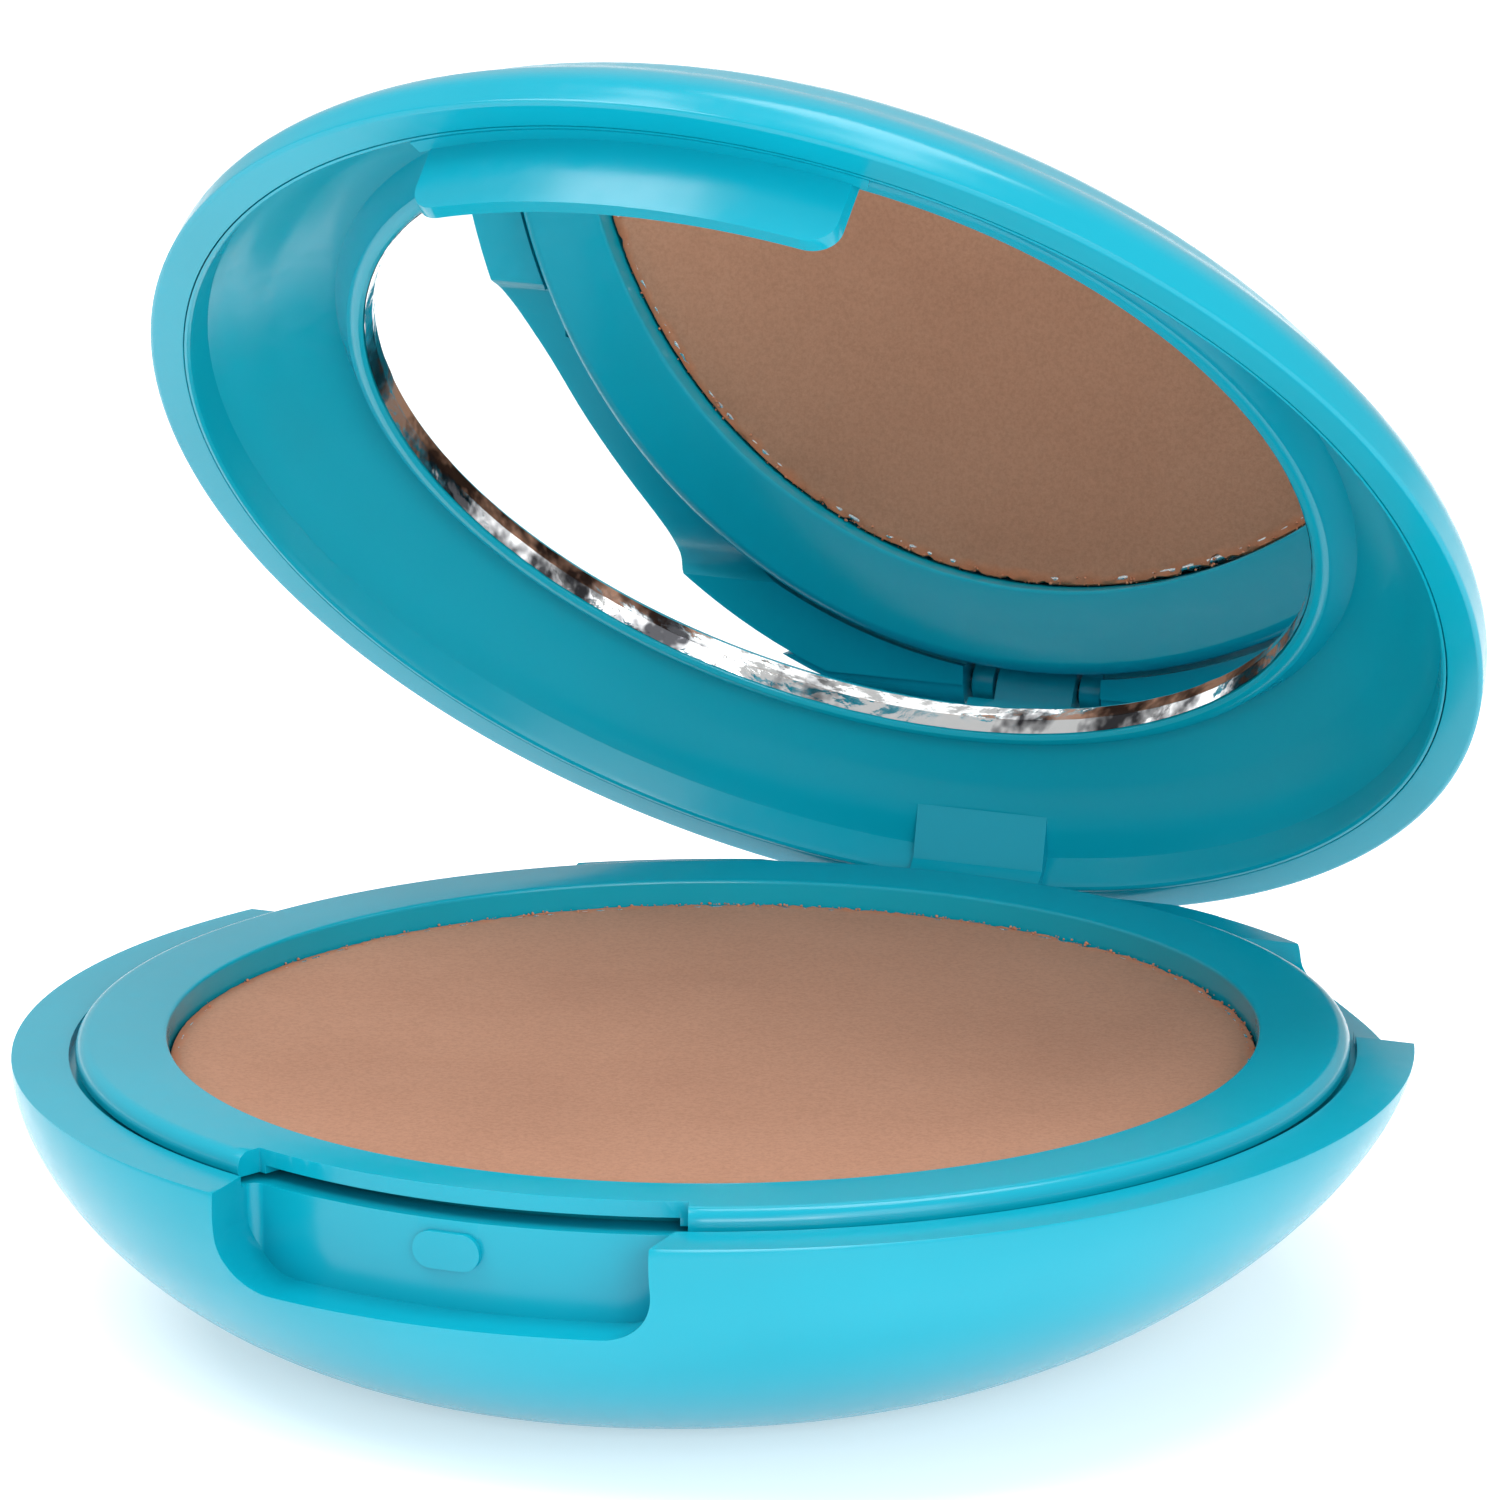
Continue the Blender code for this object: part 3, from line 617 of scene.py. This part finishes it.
shape = [(a, b - 0.001) for a, b in shape] + [(FH, 4), (-FH, 4)]
combine(flap, obj_from("flap_face", prism(shape, "Y", -40, -28), PLACE_LID, TEAL, True), "INTERSECT")
combine(lidf, flap, "UNION")
combine(lidf, obj_from("flap_root", sector(34.9, 35.75, math.degrees(math.asin(13.0 / 35.3)), GAP + 0.02, 1.9), PLACE_LID, TEAL, True), "UNION")
arm = [(33.2, 3.55), (34.95, 0.95), (34.95, -0.35), (37.2, -0.35), (37.2, 0.0), (36.03, 0.1), (36.03, 1.45), (34.3, 3.6)]
combine(lidf, obj_from("arm", prism(arm, "X", -4.0, 4.0), PLACE_LID, TEAL, True), "UNION")
barrel = [(34.97, -0.3), (37.18, -0.3)] + arc(HINGE_Y, HINGE_Z, 1.44, 0, -180, 24) + [(34.6, -1.1)]
combine(lidf, obj_from("barrel", prism(barrel, "X", -2.4, 2.4), PLACE_LID, TEAL, True), "UNION")
combine(lidf, obj_from("kbore", rod(0.8, -6, 6, HINGE_Y, HINGE_Z), PLACE_LID, TEAL, True), "DIFFERENCE")
settle(lidf, 0.00020)
ride(lidf, "lid", "lid_frame")

EFF = 5.68 + GAP  # plane of the silvering
mir = obj_from("mirror_glass", turned([(0, EFF), (27.0, EFF), (27.12, EFF + 0.1), (27.15, EFF + 0.9), (0, EFF + 0.9)]), PLACE_LID, MIRROR)
mir.data.shade_smooth()
mir.data.set_sharp_from_angle(angle=math.radians(20))
ride(mir, "lid", "mirror")

# the glass's edge: a silvered band with the crinkles that show between the bead and the mirror
bm = bmesh.new()
rows, cols = 9, 960
grid = []
for i in range(rows):
    u = i / (rows - 1)
    line = []
    for k in range(cols):
        a = 2 * math.pi * k / cols
        p = Vector((math.cos(a) * 27, math.sin(a) * 27, u * 1.3))
        w = noise.noise(p * 0.25) * 0.6 + noise.noise(p * 0.8) * 0.4 + noise.noise(p * 2.4) * 0.10
        rr = 27.16 - 0.07 * abs(w) - 0.14 * u
        z = 4.86 + GAP + (EFF + 0.03 - 4.86 - GAP) * u + 0.05 * w * (1 - u)
        line.append(bm.verts.new((rr * math.cos(a), rr * math.sin(a), z)))
    grid.append(line)
for i in range(rows - 1):
    for k in range(cols):
        j = (k + 1) % cols
        bm.faces.new((grid[i][k], grid[i][j], grid[i + 1][j], grid[i + 1][k]))
edge = obj_from("mirror_silver_edge", bm, PLACE_LID, SILVER)
th = edge.modifiers.new("thick", "SOLIDIFY")
th.thickness, th.offset = 0.00004, 1
settle(edge, 0)
ride(edge, "lid", None)

# ---------------------------------------------------------------- carried-over CAD pieces
for node, mat in (("hinge_pin", STEEL), ("pan_adhesive", TAPE), ("mirror_adhesive", TAPE)):
    o = frame["nodes"][node]
    if not o.material_slots:
        o.data.materials.append(mat)
    for ms in o.material_slots:
        ms.material = mat

for t in TOOLS:
    bpy.data.objects.remove(t, do_unlink=True)

# ---------------------------------------------------------------- floor, light, camera
bm = bmesh.new()
bmesh.ops.create_grid(bm, x_segments=24, y_segments=24, size=4.0)
mesh = bpy.data.meshes.new("floor")
bm.to_mesh(mesh)
bm.free()
floor = bpy.data.objects.new("floor", mesh)
floor.location.z = -0.00005
mesh.materials.append(floor_material())
bpy.context.scene.collection.objects.link(floor)

bpy.context.scene.view_settings.view_transform = "Standard"
world = bpy.data.worlds.new("studio")
bpy.context.scene.world = world
world.use_nodes = True
world.node_tree.nodes["Background"].inputs["Color"].default_value = (1.0, 1.0, 1.0, 1)
world.node_tree.nodes["Background"].inputs["Strength"].default_value = 0.62


def softbox(name, at, towards, sx, sy, power):
    light = bpy.data.lights.new(name, "AREA")
    light.shape, light.size, light.size_y, light.energy = "RECTANGLE", sx, sy, power
    o = bpy.data.objects.new(name, light)
    o.location = at
    o.rotation_euler = (Vector(towards) - Vector(at)).to_track_quat("-Z", "Y").to_euler()
    bpy.context.scene.collection.objects.link(o)
    return o


softbox("key", (-0.40, -0.25, 0.85), (0, 0, 0.03), 0.40, 0.55, 4.6)
softbox("front", (0.50, -0.85, 0.34), (0, 0, 0.045), 0.5, 0.30, 3.6)
softbox("top", (0.10, 0.25, 0.95), (0, 0, 0.03), 0.55, 0.45, 4.5)
softbox("fill", (0.75, -0.55, 0.45), (0, 0, 0.02), 0.5, 0.6, 2.4)

# the camera: 24 degrees right of the front, 16 degrees up, with the rim's centre at a set place in the frame
AZ, EL, DIST, ROLL = 23.995, 16.143, 15.0213 * 0.038, -0.2613
FOCAL_PX, TARGET_PX = 700.1606 * 15.0213, (713.017, 1041.547)
a, e = math.radians(AZ), math.radians(EL)
behind = np.array([math.sin(a) * math.cos(e), -math.cos(a) * math.cos(e), math.sin(e)])
fwd = -behind
right = np.cross(fwd, [0, 0, 1])
right /= np.linalg.norm(right)
up = np.cross(right, fwd)
cr, sr = math.cos(math.radians(ROLL)), math.sin(math.radians(ROLL))
right, up = cr * right + sr * up, -sr * right + cr * up
aim = np.array([(TARGET_PX[0] - 750) / FOCAL_PX, (750 - TARGET_PX[1]) / FOCAL_PX, 1.0])
aim /= np.linalg.norm(aim)
zax = np.array([0, 0, 1.0])
ax = np.cross(aim, zax)
sn, cs = np.linalg.norm(ax), aim @ zax
ax /= sn
K = np.array([[0, -ax[2], ax[1]], [ax[2], 0, -ax[0]], [-ax[1], ax[0], 0]])
turn = np.eye(3) + sn * K + (1 - cs) * K @ K
rows3 = turn.T @ np.stack([right, up, fwd])
pos = behind * DIST + np.array([0, 0, ZP * 0.001])
cam = bpy.data.cameras.new("camera")
cam.sensor_width, cam.lens = 36.0, FOCAL_PX / 1500 * 36.0
cam.clip_start, cam.clip_end = 0.01, 20
camera = bpy.data.objects.new("camera", cam)
m = Matrix.Identity(4)
for i in range(3):
    m[i][0], m[i][1], m[i][2], m[i][3] = rows3[0][i], rows3[1][i], -rows3[2][i], pos[i]
camera.matrix_world = m
bpy.context.scene.collection.objects.link(camera)
bpy.context.scene.camera = camera
